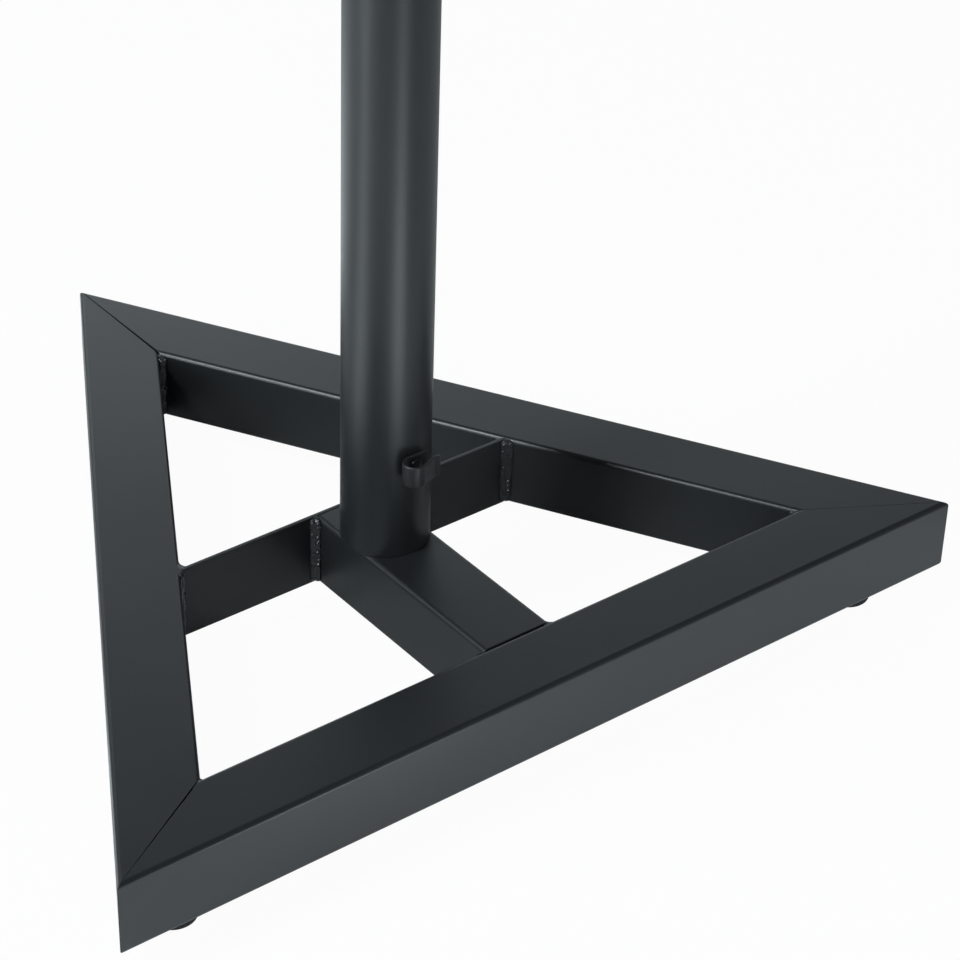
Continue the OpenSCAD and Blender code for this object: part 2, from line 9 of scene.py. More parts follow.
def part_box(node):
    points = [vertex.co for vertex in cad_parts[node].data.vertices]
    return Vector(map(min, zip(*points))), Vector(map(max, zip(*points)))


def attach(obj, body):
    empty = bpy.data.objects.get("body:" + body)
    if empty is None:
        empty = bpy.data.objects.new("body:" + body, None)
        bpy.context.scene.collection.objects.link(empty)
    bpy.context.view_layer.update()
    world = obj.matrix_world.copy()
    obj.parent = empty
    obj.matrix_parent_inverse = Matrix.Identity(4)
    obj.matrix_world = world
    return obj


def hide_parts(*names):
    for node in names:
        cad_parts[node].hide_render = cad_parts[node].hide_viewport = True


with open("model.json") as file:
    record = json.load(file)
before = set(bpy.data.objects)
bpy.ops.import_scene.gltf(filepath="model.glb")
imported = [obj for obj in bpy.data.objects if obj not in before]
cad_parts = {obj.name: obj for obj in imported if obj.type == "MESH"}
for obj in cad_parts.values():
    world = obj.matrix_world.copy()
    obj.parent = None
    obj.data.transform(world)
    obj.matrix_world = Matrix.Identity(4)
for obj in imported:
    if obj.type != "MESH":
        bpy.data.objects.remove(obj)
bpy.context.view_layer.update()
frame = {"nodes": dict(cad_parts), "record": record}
scene = bpy.context.scene
scene.view_settings.view_transform = "Standard"

# The part's lengths are in millimetres and are scaled once, where a piece is made. The camera, floor and
# lamps are in metres.
MM = 0.001


def metres(point):
    return Vector(point) * MM


def corners(node):
    low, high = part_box(node)
    return low / MM, high / MM


def unit(angle):
    return Vector((math.cos(angle), math.sin(angle)))


def away(corner, angle, length, height):
    """A point some way from a corner in plan, at a height."""
    return corner[0] + length * math.cos(angle), corner[1] + length * math.sin(angle), height


# Camera, fitted to the straight edges of the base. The focal length and picture width are in pixels.

CAMERA_PLACE = (-0.77533, -1.10840, 0.96963)
CAMERA_SWING, CAMERA_RISE, CAMERA_LEAN = -38.821, 34.235, 1.865
FOCAL_LENGTH, PICTURE_WIDTH, SENSOR_WIDTH = 3174.63, 960, 36


def add_camera():
    swing, rise, lean = math.radians(CAMERA_SWING), math.radians(CAMERA_RISE), math.radians(CAMERA_LEAN)
    back = Vector((math.sin(swing) * math.cos(rise), -math.cos(swing) * math.cos(rise), math.sin(rise)))
    right = (-back).cross(Vector((0, 0, 1))).normalized()
    down = (-back).cross(right)
    right, down = (math.cos(lean) * right - math.sin(lean) * down,
                   math.sin(lean) * right + math.cos(lean) * down)
    lens = bpy.data.cameras.new("photo_camera")
    lens.sensor_width = SENSOR_WIDTH
    lens.lens = FOCAL_LENGTH / PICTURE_WIDTH * SENSOR_WIDTH
    lens.clip_start, lens.clip_end = 0.05, 60
    camera = bpy.data.objects.new("photo_camera", lens)
    scene.collection.objects.link(camera)
    facing = Matrix((right, -down, back)).transposed().to_4x4()
    camera.matrix_world = Matrix.Translation(CAMERA_PLACE) @ facing
    scene.camera = camera


add_camera()


# Modelling by hand: start a primitive, pick parts of it, shape them.

TO_FRONT, TO_REAR, TO_RIGHT, TO_LEFT = (90, 0, 0), (-90, 0, 0), (0, 90, 0), (0, -90, 0)
NEAR = 0.01
SAME_PLACE = 1e-6


def start(name, add, at=(0, 0, 0), turn=(0, 0, 0), **how):
    bpy.ops.object.select_all(action="DESELECT")
    add(location=metres(at), rotation=[math.radians(a) for a in turn], **how)
    piece = bpy.context.object
    piece.name = piece.data.name = name
    bpy.ops.object.transform_apply(location=True, rotation=True, scale=True)
    return piece


def only(piece):
    bpy.ops.object.select_all(action="DESELECT")
    piece.select_set(True)
    bpy.context.view_layer.objects.active = piece


def settle(piece, at, turn=(0, 0, 0)):
    """Turns and moves a piece drawn at the origin, and keeps that in its mesh."""
    piece.location = metres(at)
    piece.rotation_euler = [math.radians(a) for a in turn]
    only(piece)
    bpy.ops.object.transform_apply(location=True, rotation=True, scale=True)


def pick(piece, kind, test):
    """Opens a piece in edit mode with only those vertices or edges selected that pass the test."""
    only(piece)
    bpy.ops.object.mode_set(mode="EDIT")
    bpy.ops.mesh.select_mode(type=kind)
    bpy.ops.mesh.select_all(action="DESELECT")
    bpy.ops.object.mode_set(mode="OBJECT")
    mesh = piece.data
    place = [v.co / MM for v in mesh.vertices]
    if kind == "VERT":
        for v in mesh.vertices:
            v.select = test(place[v.index])
    else:
        for e in mesh.edges:
            e.select = test(place[e.vertices[0]], place[e.vertices[1]])
    bpy.ops.object.mode_set(mode="EDIT")


def close():
    bpy.ops.object.mode_set(mode="OBJECT")


def outward_and_close():
    bpy.ops.mesh.select_all(action="SELECT")
    bpy.ops.mesh.normals_make_consistent(inside=False)
    close()


def everything(*_):
    return True


def block(name, low, high):
    middle = [(a + b) / 2 for a, b in zip(low, high)]
    size = [(b - a) * MM for a, b in zip(low, high)]
    return start(name, bpy.ops.mesh.primitive_cube_add, middle, size=1, scale=size)


def round_edges(piece, test, width, segments=4):
    pick(piece, "EDGE", test)
    bpy.ops.mesh.bevel(offset=width * MM, offset_type="OFFSET", segments=segments, profile=0.5, affect="EDGES")
    close()


def trim(piece, point, outward):
    """Saws the piece off at a plane and closes the cut."""
    pick(piece, "VERT", everything)
    bpy.ops.mesh.bisect(plane_co=metres(point), plane_no=outward, use_fill=True, clear_outer=True, threshold=1e-7)
    close()


def finish_with(piece, kind, **settings):
    only(piece)
    modifier = piece.modifiers.new(kind.lower(), kind)
    for key, value in settings.items():
        setattr(modifier, key, value)
    bpy.ops.object.modifier_apply(modifier=modifier.name)


def soften(piece, width, segments=3, angle=40):
    finish_with(piece, "BEVEL", width=width * MM, segments=segments, limit_method="ANGLE",
                angle_limit=math.radians(angle), harden_normals=False)


def combine(piece, tool, operation):
    finish_with(piece, "BOOLEAN", object=tool, operation=operation, solver="EXACT")
    bpy.data.objects.remove(tool)


def smooth(piece, angle):
    only(piece)
    bpy.ops.object.shade_smooth_by_angle(angle=math.radians(angle))


def twin(piece, name, turn=0, about=(0, 0, 0), shift=(0, 0, 0)):
    """A copy with its own mesh, turned about an upright line and moved."""
    only(piece)
    bpy.ops.object.duplicate()
    copy = bpy.context.object
    copy.name = copy.data.name = name
    centre = Matrix.Translation(metres(about))
    copy.matrix_world = (Matrix.Translation(metres(shift)) @ centre
                         @ Matrix.Rotation(math.radians(turn), 4, "Z") @ centre.inverted())
    bpy.ops.object.transform_apply(location=True, rotation=True, scale=True)
    return copy


def join(name, pieces):
    bpy.ops.object.select_all(action="DESELECT")
    for piece in pieces:
        piece.select_set(True)
    bpy.context.view_layer.objects.active = pieces[0]
    bpy.ops.object.join()
    pieces[0].name = pieces[0].data.name = name
    return pieces[0]


def rounded(profile, steps=5):
    """Turns (radius, height, fillet) corners of a profile into arcs."""
    points = []
    count = len(profile)
    for i, corner in enumerate(profile):
        here = Vector(corner[:2])
        if len(corner) == 2:
            points.append(here)
            continue
        to_last = (Vector(profile[i - 1][:2]) - here).normalized()
        to_next = (Vector(profile[(i + 1) % count][:2]) - here).normalized()
        half = to_last.angle(to_next) / 2
        reach = corner[2] / math.tan(half)
        centre = here + (to_last + to_next).normalized() * corner[2] / math.sin(half)
        a, b = here + to_last * reach - centre, here + to_next * reach - centre
        sweep = a.angle_signed(b)
        for k in range(steps + 1):
            angle = -sweep * k / steps
            points.append(centre + Vector((a.x * math.cos(angle) - a.y * math.sin(angle),
                                           a.x * math.sin(angle) + a.y * math.cos(angle))))
    return points


def draw_line(name, points):
    """A chain of edges through the points, drawn by extruding one corner of a plane."""
    piece = start(name, bpy.ops.mesh.primitive_plane_add, size=0.01)
    keep = piece.data.vertices[0].co / MM
    pick(piece, "VERT", lambda p: (p - keep).length > 0.001)
    bpy.ops.mesh.delete(type="VERT")
    bpy.ops.mesh.select_all(action="SELECT")
    last = keep
    for i, point in enumerate(points):
        step = tuple(metres(point) - metres(last))
        if i == 0:
            bpy.ops.transform.translate(value=step)
        else:
            bpy.ops.mesh.extrude_region_move(TRANSFORM_OT_translate={"value": step})
        last = Vector(point)
    close()
    return piece


def draw_face(name, points):
    """A flat face through the points, left in edit mode and selected."""
    piece = draw_line(name, points + points[:1])
    pick(piece, "VERT", everything)
    bpy.ops.mesh.remove_doubles(threshold=SAME_PLACE)
    bpy.ops.mesh.select_all(action="SELECT")
    bpy.ops.mesh.edge_face_add()
    return piece


def pull(*step):
    """Extrudes what is selected."""
    bpy.ops.mesh.extrude_region_move(TRANSFORM_OT_translate={"value": [a * MM for a in step]})


def swell(grow, about):
    """Scales what is selected in plan, about a point."""
    bpy.ops.transform.resize(value=(grow, grow, 1), center_override=metres(about))


def turned(name, profile, at=(0, 0, 0), turn=(0, 0, 0), steps=96, ring=False):
    """A lathe piece: (radius, height, fillet) corners spun about Z, then turned and set in place."""
    points = [(p.x, 0, p.y) for p in rounded(profile)]
    if ring:
        points.append(points[0])
    piece = draw_line(name, points)
    pick(piece, "VERT", everything)
    bpy.ops.mesh.spin(steps=steps, angle=2 * math.pi, center=(0, 0, 0), axis=(0, 0, 1))
    bpy.ops.mesh.select_all(action="SELECT")
    bpy.ops.mesh.remove_doubles(threshold=SAME_PLACE)
    outward_and_close()
    settle(piece, at, turn)
    return piece


def drill(piece, radius, at, turn, end, steps=48, begin=0):
    """A hole along the turned Z axis, or a hexagon socket when it has six steps."""
    profile = [(0, begin), (radius, begin), (radius, end), (0, end)]
    combine(piece, turned("drill", profile, at, turn, steps), "DIFFERENCE")


# Materials: arithmetic on a Value adds Math nodes, every other node comes from Finish.node.

class Value:
    def __init__(self, finish, socket):
        self.finish, self.socket = finish, socket

    def _sum(self, operation, first, second):
        return self.finish.node("ShaderNodeMath", {"operation": operation}, {0: first, 1: second})

    def __add__(self, other):
        return self._sum("ADD", self, other)

    def __radd__(self, other):
        return self._sum("ADD", other, self)

    def __mul__(self, other):
        return self._sum("MULTIPLY", self, other)

    def at_most(self, other):
        return self._sum("MINIMUM", self, other)


class Finish:
    def __init__(self, name, world=None):
        self.material = world or bpy.data.materials.new(name)
        self.material.use_nodes = True
        self.tree = self.material.node_tree
        self.tree.nodes.clear()

    def node(self, kind, settings=None, sockets=None, out=0):
        node = self.tree.nodes.new(kind)
        for key, value in (settings or {}).items():
            if key == "stops":
                while len(node.color_ramp.elements) < len(value):
                    node.color_ramp.elements.new(1)
                for element, (place, level) in zip(node.color_ramp.elements, value):
                    element.position, element.color = place, (level, level, level, 1)
            else:
                setattr(node, key, value)
        for key, value in (sockets or {}).items():
            if isinstance(value, Value):
                self.tree.links.new(value.socket, node.inputs[key])
            else:
                node.inputs[key].default_value = value
        return Value(self, node.outputs[out]) if node.outputs else None

    def where(self):
        return self.node("ShaderNodeTexCoord", out="Object")

    def noise(self, scale, detail=2, rough=0.5, place=None):
        return self.node("ShaderNodeTexNoise", {"noise_dimensions": "3D"},
                         {"Vector": place or self.where(), "Scale": scale, "Detail": detail, "Roughness": rough})

    def stretched(self, x, y, z):
        return self.node("ShaderNodeMapping", None, {"Vector": self.where(), "Scale": (x, y, z)})

    def ramp(self, value, *stops):
        return self.node("ShaderNodeValToRGB", {"stops": stops}, {"Fac": value})

    def blend(self, factor, first, second):
        return self.node("ShaderNodeMix", {"data_type": "RGBA"},
                         {"Factor": factor, "A": (*first, 1), "B": (*second, 1)}, out="Result")

    def bump(self, height, strength, distance, normal=None):
        sockets = {"Height": height, "Strength": strength, "Distance": distance}
        if normal:
            sockets["Normal"] = normal
        return self.node("ShaderNodeBump", None, sockets)

    def surface(self, shader):
        kind = "ShaderNodeOutputWorld" if isinstance(self.material, bpy.types.World) else "ShaderNodeOutputMaterial"
        self.node(kind, None, {"Surface": shader})
        return self.material

    def done(self, **sockets):
        named = {key.replace("_", " "): value for key, value in sockets.items()}
        return self.surface(self.node("ShaderNodeBsdfPrincipled", None, named))


def powder_coat(name, dark, light, gloss, peel, ripple=0):
    """Satin powder coat: fine orange peel, soft clouding and a little unevenness in its gloss. On a weld it
    also follows the ripples across the bead."""
    f = Finish(name)
    cloud = f.noise(11, 3)
    grain = f.noise(620, 2, 0.55)
    waves = f.noise(190, 1)
    speck = f.noise(2600, 1)
    skin = f.bump(waves * 0.6 + grain * 0.4, peel, 0.00025)
    skin = f.bump(speck, peel * 0.5, 0.00004, skin)
    if ripple:
        ripples = f.noise(1, 1, 0.5, f.stretched(330, 330, 620))
        skin = f.bump(ripples, ripple, 0.001, skin)
    colour = f.blend(f.ramp(cloud * 0.7 + speck * 0.3, (0.35, 0), (0.7, 1)), dark, light)
    return f.done(Base_Color=colour, Roughness=gloss - 0.04 + cloud * 0.08 + grain * 0.03, Normal=skin)


def moulded(name, dark, light, gloss, grain_size, depth):
    """Moulded plastic or rubber with a fine eroded grain."""
    f = Finish(name)
    cloud = f.noise(24, 3)
    grain = f.noise(grain_size, 2, 0.6)
    skin = f.bump(grain, depth, 0.0002)
    colour = f.blend(f.ramp(cloud * 0.6 + grain * 0.4, (0.35, 0), (0.68, 1)), dark, light)
    return f.done(Base_Color=colour, Roughness=gloss - 0.05 + grain * 0.06 + cloud * 0.06, Normal=skin)


def metal(name, dark, light, gloss, lines):
    """Plated or plain metal with fine turning lines and a slight tarnish."""
    f = Finish(name)
    cloud = f.noise(60, 4, 0.6)
    scratch = f.noise(1, 3, 0.6, f.stretched(*lines))
    skin = f.bump(scratch, 0.12, 0.00005)
    colour = f.blend(f.ramp(cloud, (0.35, 0), (0.65, 1)), dark, light)
    return f.done(Base_Color=colour, Metallic=1.0, Roughness=gloss - 0.06 + cloud * 0.1 + scratch * 0.06, Normal=skin)


black_coat = powder_coat("satin_black_coat", (0.0122, 0.0132, 0.0142), (0.0161, 0.0174, 0.0187), 0.36, 0.18)
# The welds' coat is lighter than the black coat. This is a painted sheen for the light that the lumpy beads catch.
weld_coat_painted_sheen = powder_coat("coated_weld_painted_sheen", (0.019, 0.0205, 0.022), (0.036, 0.039, 0.041), 0.24, 0.2, 0.4)
# The feet's rubber is a dark grey, lighter than the black rubber itself. This is painted light for the bright floor
# that the feet reflect.
rubber = moulded("foot_rubber_with_painted_floor_light", (0.026, 0.0275, 0.029), (0.04, 0.0425, 0.045), 0.5, 900, 0.3)
plastic = moulded("black_plastic_satin", (0.013, 0.0135, 0.014), (0.02, 0.0205, 0.021), 0.36, 1500, 0.25)
blackened = powder_coat("blackened_screw", (0.012, 0.012, 0.013), (0.022, 0.022, 0.023), 0.34, 0.1)
zinc = metal("zinc_plate", (0.5, 0.51, 0.53), (0.66, 0.67, 0.68), 0.3, (40, 40, 2200))
brass = metal("turned_brass", (0.58, 0.42, 0.17), (0.74, 0.56, 0.26), 0.28, (40, 2200, 40))

FINISHES = {"coated_steel": black_coat, "foot_rubber": rubber, "black_plastic": plastic,
            "black_steel": blackened, "plated_steel": zinc, "insert_brass": brass}


def hand_over(piece, body, nodes, slot, angle=38):
    """Gives a finished piece its shading, body and the nodes it stands for, and a finish if it has none yet."""
    smooth(piece, angle)
    finish_with(piece, "WEIGHTED_NORMAL", mode="FACE_AREA", weight=100, keep_sharp=True)
    if not piece.data.materials:
        piece.data.materials.append(FINISHES[slot])
    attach(piece, body)
    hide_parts(*nodes)


# Base frame.

rail_low, rail_high = corners("front_rail")
TUBE = rail_high.y - rail_low.y
FLOOR_GAP = rail_low.z
TUBE_TOP = rail_high.z
FRONT = rail_low.y
SIDE = 2 * abs(FRONT) / (math.sqrt(3) / 2)
CENTRE = (0, FRONT + SIDE * math.sqrt(3) / 6, 0)
INNER_FRONT = FRONT + TUBE
INNER_HALF = SIDE / 2 - TUBE * math.sqrt(3)
INNER_APEX = -FRONT - 2 * TUBE
TUBE_CORNER, SAWN_EDGE, PLATE_EDGE = 2.5, 0.35, 0.4
# Each mitre seam is its gap at the outer and the inner corner, and the break of the sawn edge.
REAR_SEAM, OPEN_SEAM, GROUND_SEAM = (0.15, 1.2, 0.3), (0.05, 0.9, 0.22), (0.08, 0.08, 0.14)


def mitred_tube(name, left_seam, right_seam):
    """A rail drawn as the front one, a little long and then sawn off along its two seams."""
    spare = 5
    rail = block(name, (-SIDE / 2 - spare, FRONT, FLOOR_GAP), (SIDE / 2 + spare, INNER_FRONT, TUBE_TOP))
    round_edges(rail, lambda a, b: abs(a.x - b.x) > SIDE / 2, TUBE_CORNER, 6)
    for side, (outer_gap, inner_gap, edge) in ((-1, left_seam), (1, right_seam)):
        run = SIDE / 2 - outer_gap - INNER_HALF + inner_gap
        mitre = Vector((side * TUBE, run, 0)).normalized()
        end = Vector((side * (INNER_HALF - inner_gap), INNER_FRONT, 0))
        trim(rail, end, mitre)
        round_edges(rail, lambda a, b: all(abs((p - end).dot(mitre)) < NEAR for p in (a, b)), edge, 2)
    return rail


def make_rails():
    for node, turn, left_seam, right_seam in (("front_rail", 0, OPEN_SEAM, GROUND_SEAM),
                                              ("right_rail", 120, GROUND_SEAM, REAR_SEAM),
                                              ("left_rail", -120, REAR_SEAM, OPEN_SEAM)):
        drawn = mitred_tube(node + "_drawn", left_seam, right_seam)
        hand_over(twin(drawn, node + "_tube", turn, CENTRE), "stand", [node], "coated_steel")
        bpy.data.objects.remove(drawn)


def make_stem_and_plate():
    low, high = corners("stem_tube")
    stem = block("stem_square_tube", low, high)
    round_edges(stem, lambda a, b: abs(a.y - b.y) > TUBE, TUBE_CORNER, 6)
    for end in (low.y, high.y):
        round_edges(stem, lambda a, b: abs(a.y - end) < NEAR and abs(b.y - end) < NEAR, SAWN_EDGE, 2)
    hand_over(stem, "stand", ["stem_tube"], "coated_steel")
    low, high = corners("cross_plate")
    plate = block("cross_plate_bar", low, high)
    for side in (-1, 1):
        trim(plate, (side * high.x, low.y, 0), (side * math.sqrt(3) / 2, 0.5, 0))
    round_edges(plate, everything, PLATE_EDGE, 2)
    hand_over(plate, "stand", ["cross_plate"], "coated_steel")


make_rails()
make_stem_and_plate()


# Weld beads: fillets drawn up the inner corners of the base. A bead is given by its corner in plan, the heading
# of the corner's first leg and the angle it opens by, in degrees, and the length of its own legs.

WELD_FOOT = FLOOR_GAP + 1.0
WELD_ROOT = 3
LUMPS = 60
# Each step up a bead is its rise and its girth as a share of the bead's legs.
BEAD_FOOT_GIRTH = 0.5
BEAD_FOOT = [(0.4, 0.72), (0.4, 0.86)]
BEAD_DOME = [(0.9, 1.12), (0.8, 1.12), (0.8, 1.05), (0.7, 0.93), (0.5, 0.75), (0.3, 0.5)]
# Where the scales sit: the two ridges, as shares of the half opening, and heights up the tube.
RIDGES = (-0.55, 0.55)
TOP_SCALE, LOWEST_SCALE, HIGHEST_SCALE = 38, 5, 36
GROUND_DROP = 0.45


def rise_of(steps):
    return sum(rise for rise, _ in steps)


def weld_plan(name, corner, heading, opening, reach):
    """The plan of a bead, left in edit mode for extruding, with its root in the rounded tube edges."""
    middle = math.radians(heading + opening / 2)
    outline = [away(corner, middle, -WELD_ROOT, WELD_FOOT)]
    for k in range(11):
        way = math.radians(heading + opening * k / 10)
        outline.append(away(corner, way, reach(way - middle), WELD_FOOT))
    return draw_face(name, outline)


def lump(k, seed, chance):
    """The girth of a bead at one of its lumps: wider to the top, in slow waves, with a knob here and there."""
    knob = chance.uniform(0.08, 0.14) if chance.random() < 0.08 else chance.uniform(-0.02, 0.02)
    return 0.92 + 0.003 * k + 0.05 * math.sin(0.33 * k + seed) + knob


def lumpy_bead(name, corner, heading, opening, leg, seed, short=0.15, scales=9):
    """A bead as it was laid: two low ridges, uneven up its length, with a round top and
    small scales that face up along the ridges."""
    chance = random.Random(seed)
    half = math.radians(opening / 2)

    def reach(off):
        return leg * math.cos(half) / math.cos(off) * (1.0 + 0.12 * math.sin(math.pi * off / half) ** 2)

    weld = weld_plan(name, corner, heading, opening, reach)
    room = TUBE_TOP - short - WELD_FOOT - rise_of(BEAD_FOOT) - rise_of(BEAD_DOME)
    lumps = [(room / LUMPS, lump(k, seed, chance)) for k in range(LUMPS)]
    height, girth = WELD_FOOT, BEAD_FOOT_GIRTH
    swell(girth, (*corner, height))
    for rise, wanted in BEAD_FOOT + lumps + BEAD_DOME:
        height += rise
        pull(0, 0, rise)
        swell(wanted / girth, (*corner, height))
        girth = wanted
    bpy.ops.mesh.inset(thickness=0.2 * MM)
    outward_and_close()
    finish_with(weld, "SUBSURF", levels=1, render_levels=1)
    pieces = [weld]
    ridges = [*RIDGES] + [chance.choice(RIDGES) for _ in range(scales)]
    rises = [TOP_SCALE] * 2 + [chance.uniform(LOWEST_SCALE, HIGHEST_SCALE) for _ in range(scales)]
    for ridge, rise in zip(ridges, rises):
        off = half * ridge * chance.uniform(0.8, 1.2)
        at = away(corner, math.radians(heading) + half + off, reach(off), FLOOR_GAP + rise - short)
        lean = (0, chance.uniform(-53, -37), chance.uniform(20, 42))
        pieces.append(start("weld_scale", bpy.ops.mesh.primitive_ico_sphere_add, at, lean, subdivisions=3,
                            radius=chance.uniform(0.65, 1.1) * MM, scale=(1, 1, 0.5)))
    bead = join(name, pieces)
    # The bead's coat is lighter than the black coat, as a painted sheen.
    bead.data.materials.append(weld_coat_painted_sheen)
    return bead


def ground_bead(name, corner, heading, opening, leg):
    """A bead dressed to a hollow fillet, a little below the tube, with its top rolled over like the tube edges."""
    half = math.radians(opening / 2)
    radius = leg * math.tan(half)
    centre = radius / math.sin(half)

    def reach(off):
        return centre * math.cos(off) - math.sqrt(max(radius ** 2 - (centre * math.sin(off)) ** 2, 0))

    weld = weld_plan(name, corner, heading, opening, reach)
    middle = math.radians(heading + opening / 2)
    pull(0, 0, TUBE_TOP - GROUND_DROP - TUBE_CORNER - WELD_FOOT)
    for k in range(6):
        before, after = math.radians(15 * k), math.radians(15 * k + 15)
        back = TUBE_CORNER * (math.cos(before) - math.cos(after)) / math.sin(half)
        rise = TUBE_CORNER * (math.sin(after) - math.sin(before))
        pull(-back * math.cos(middle), -back * math.sin(middle), rise)
    outward_and_close()
    weld.data.materials.append(black_coat)
    return weld


def make_welds():
    low, high = corners("cross_plate")
    first = ground_bead("inner_corner_bead", (-INNER_HALF, INNER_FRONT), 0, 60, leg=3.6)
    inner = [first, twin(first, "right_corner_bead", 120, CENTRE),
             lumpy_bead("rear_corner_bead", (0, INNER_APEX), 240, 60, leg=4.6, seed=6, short=1.2)]
    hand_over(join("inner_corner_beads", inner), "stand", ["mitre_welds"], "coated_steel", angle=60)
    ends = []
    for side, seed, leg, back_leg, scales in ((-1, 11, 3.0, 9.5, 2), (1, 1085, 4.1, 3.8, 9)):
        front_end = (side * (INNER_APEX - low.y) / math.sqrt(3), low.y)
        back_end = (side * (INNER_APEX - high.y) / math.sqrt(3), high.y)
        ends.append(lumpy_bead("plate_end_bead", front_end, -120 if side < 0 else 180, 120, leg, seed,
                               scales=scales))
        ends.append(ground_bead("plate_back_bead", back_end, 0 if side < 0 else 120, 60, back_leg))
    hand_over(join("plate_end_beads", ends), "stand", ["cross_plate_welds"], "coated_steel", angle=60)
    stems = [lumpy_bead("stem_left_bead", (-TUBE / 2, low.y), 180, 90, leg=4.3, seed=484),
             lumpy_bead("stem_right_bead", (TUBE / 2, low.y), 270, 90, leg=4.3, seed=22),
             lumpy_bead("front_left_bead", (-TUBE / 2, INNER_FRONT), 90, 90, leg=3.2, seed=23, short=2.5),
             ground_bead("front_right_bead", (TUBE / 2, INNER_FRONT), 0, 90, leg=5.2)]
    hand_over(join("stem_beads", stems), "stand", ["stem_welds"], "coated_steel", angle=60)


make_welds()


# Rubber feet, pushed into the tubes by their barbed stems.

def make_feet():
    low, high = corners("left_foot")
    radius, tall, tip = (high.x - low.x) / 2, FLOOR_GAP, high.z
    neck, barb = 4, 5.5
    profile = [(0, 0.8), (6.4, 0.8), (7.4, 0, 0.3), (radius, 0, 1.5), (radius, tall, 0.5), (neck, tall),
               (neck, tall + 2), (barb, tall + 2.05), (3, tip), (0, tip)]
    left = turned("left_rubber_foot", profile, steps=72)
    feet = {"left_foot": left}
    for node in ("right_foot", "rear_foot"):
        feet[node] = twin(left, node.replace("foot", "rubber_foot"))
    for node, foot in feet.items():
        low, high = corners(node)
        settle(foot, ((low.x + high.x) / 2, (low.y + high.y) / 2, 0))
        hand_over(foot, "stand", [node], "foot_rubber")


make_feet()


# Pole, cable clip and clamp.

pole_low, pole_high = corners("outer_pole")
AXIS_Y = (pole_low.y + pole_high.y) / 2
POLE = (pole_high.x - pole_low.x) / 2
clip_low, clip_high = corners("cable_clip")
CLIP_Z = (clip_low.z + clip_high.z) / 2
collar_low, collar_high = corners("clamp_collar")
CLAMP_Z = (collar_low.z + collar_high.z) / 2
POLE_WALL, COLLAR_WALL, THROUGH_WALL = 2, 5.5, 40
RIVET_HOLE, CLIP_BAND = 1.65, 1.8
SLEEVE_BORE, SLIDING_FIT = 17.58, 0.05
# Holes along the clamp's axis are given by their radius, and where they end from the pole's axis.
STUD_HOLE, KNOB_HOLE, STUD_PITCH = 4.5, 4.05, 1.25
SHOE_HOLE, SHOE_END = 6.16, 25.18
INSERT_HOLE, INSERT_DEPTH = 6.25, 10


def make_pole():
    height, inside = pole_high.z - pole_low.z, POLE - POLE_WALL
    pole = turned("outer_pole_tube", [(inside, 0), (POLE, 0, 0.5), (POLE, height, 0.5), (inside, height)],
                  (0, AXIS_Y, pole_low.z), steps=128, ring=True)
    drill(pole, SHOE_HOLE, (0, AXIS_Y, CLAMP_Z), TO_REAR, THROUGH_WALL)
    drill(pole, RIVET_HOLE, (0, AXIS_Y, CLIP_Z), TO_FRONT, THROUGH_WALL)
    hand_over(pole, "stand", ["outer_pole"], "coated_steel")


def make_clip():
    """A band bent to a hook: a back on the pole, a bend round its left end, an arm and a lip. It is drawn in plan
    from the pole's axis."""
    back, bend, bend_radius, bend_sweep = -23.5, Vector((-4, -28.8)), 5.3, 201
    arm, lean, lip = 9.5, math.radians(21), math.radians(-14)
    line = [Vector((7.5, back)), Vector((2, back))]
    for k in range(25):
        line.append(bend + bend_radius * unit(math.radians(90 + bend_sweep * k / 24)))
    knee = line[-1] + arm * unit(lean)
    for k in range(-3, 4):
        way = unit(lean + (lip - lean) * (k + 3) / 6)
        line.append(knee + way * 0.5 * k + Vector((0, -0.35 + 0.04 * k * k)))
    line.append(knee + 3 * unit(lip))
    clip = draw_line("cable_clip_hook", [(p.x, AXIS_Y + p.y, clip_low.z) for p in line])
    pick(clip, "EDGE", everything)
    pull(0, 0, clip_high.z - clip_low.z)
    close()
    finish_with(clip, "SOLIDIFY", thickness=CLIP_BAND * MM, offset=0)
    pick(clip, "VERT", everything)
    outward_and_close()
    soften(clip, width=0.65, segments=4, angle=50)
    hand_over(clip, "clip", ["cable_clip"], "black_plastic")
    rivet = turned("clip_rivet_dome", [
        (0, 18.6), (2.4, 18.6, 0.5), (2.4, 20.2), (1.6, 20.2), (1.6, 24.5), (3.2, 24.5, 0.15), (3.0, 25.0, 0.3),
        (1.8, 25.4, 0.6), (0, 25.4)], (0, AXIS_Y, CLIP_Z), TO_FRONT, steps=48)
    hand_over(rivet, "stand", ["clip_rivet"], "black_steel")


make_pole()
make_clip()


def button_screw(name, at, turn, shank, head, rise, length, key=None):
    """A button-head screw with a hexagon socket, its head standing on the surface."""
    screw = turned(name, [
        (0, -length), (shank, -length, 0.4), (shank, 0), (head, 0, 0.12), (head, rise * 0.3),
        (head * 0.86, rise * 0.68), (head * 0.6, rise * 0.93), (head * 0.45, rise), (0, rise)], at, turn, steps=48)
    drill(screw, key or head * 0.4, at, turn, rise + 1, steps=6, begin=rise * 0.45)
    return screw


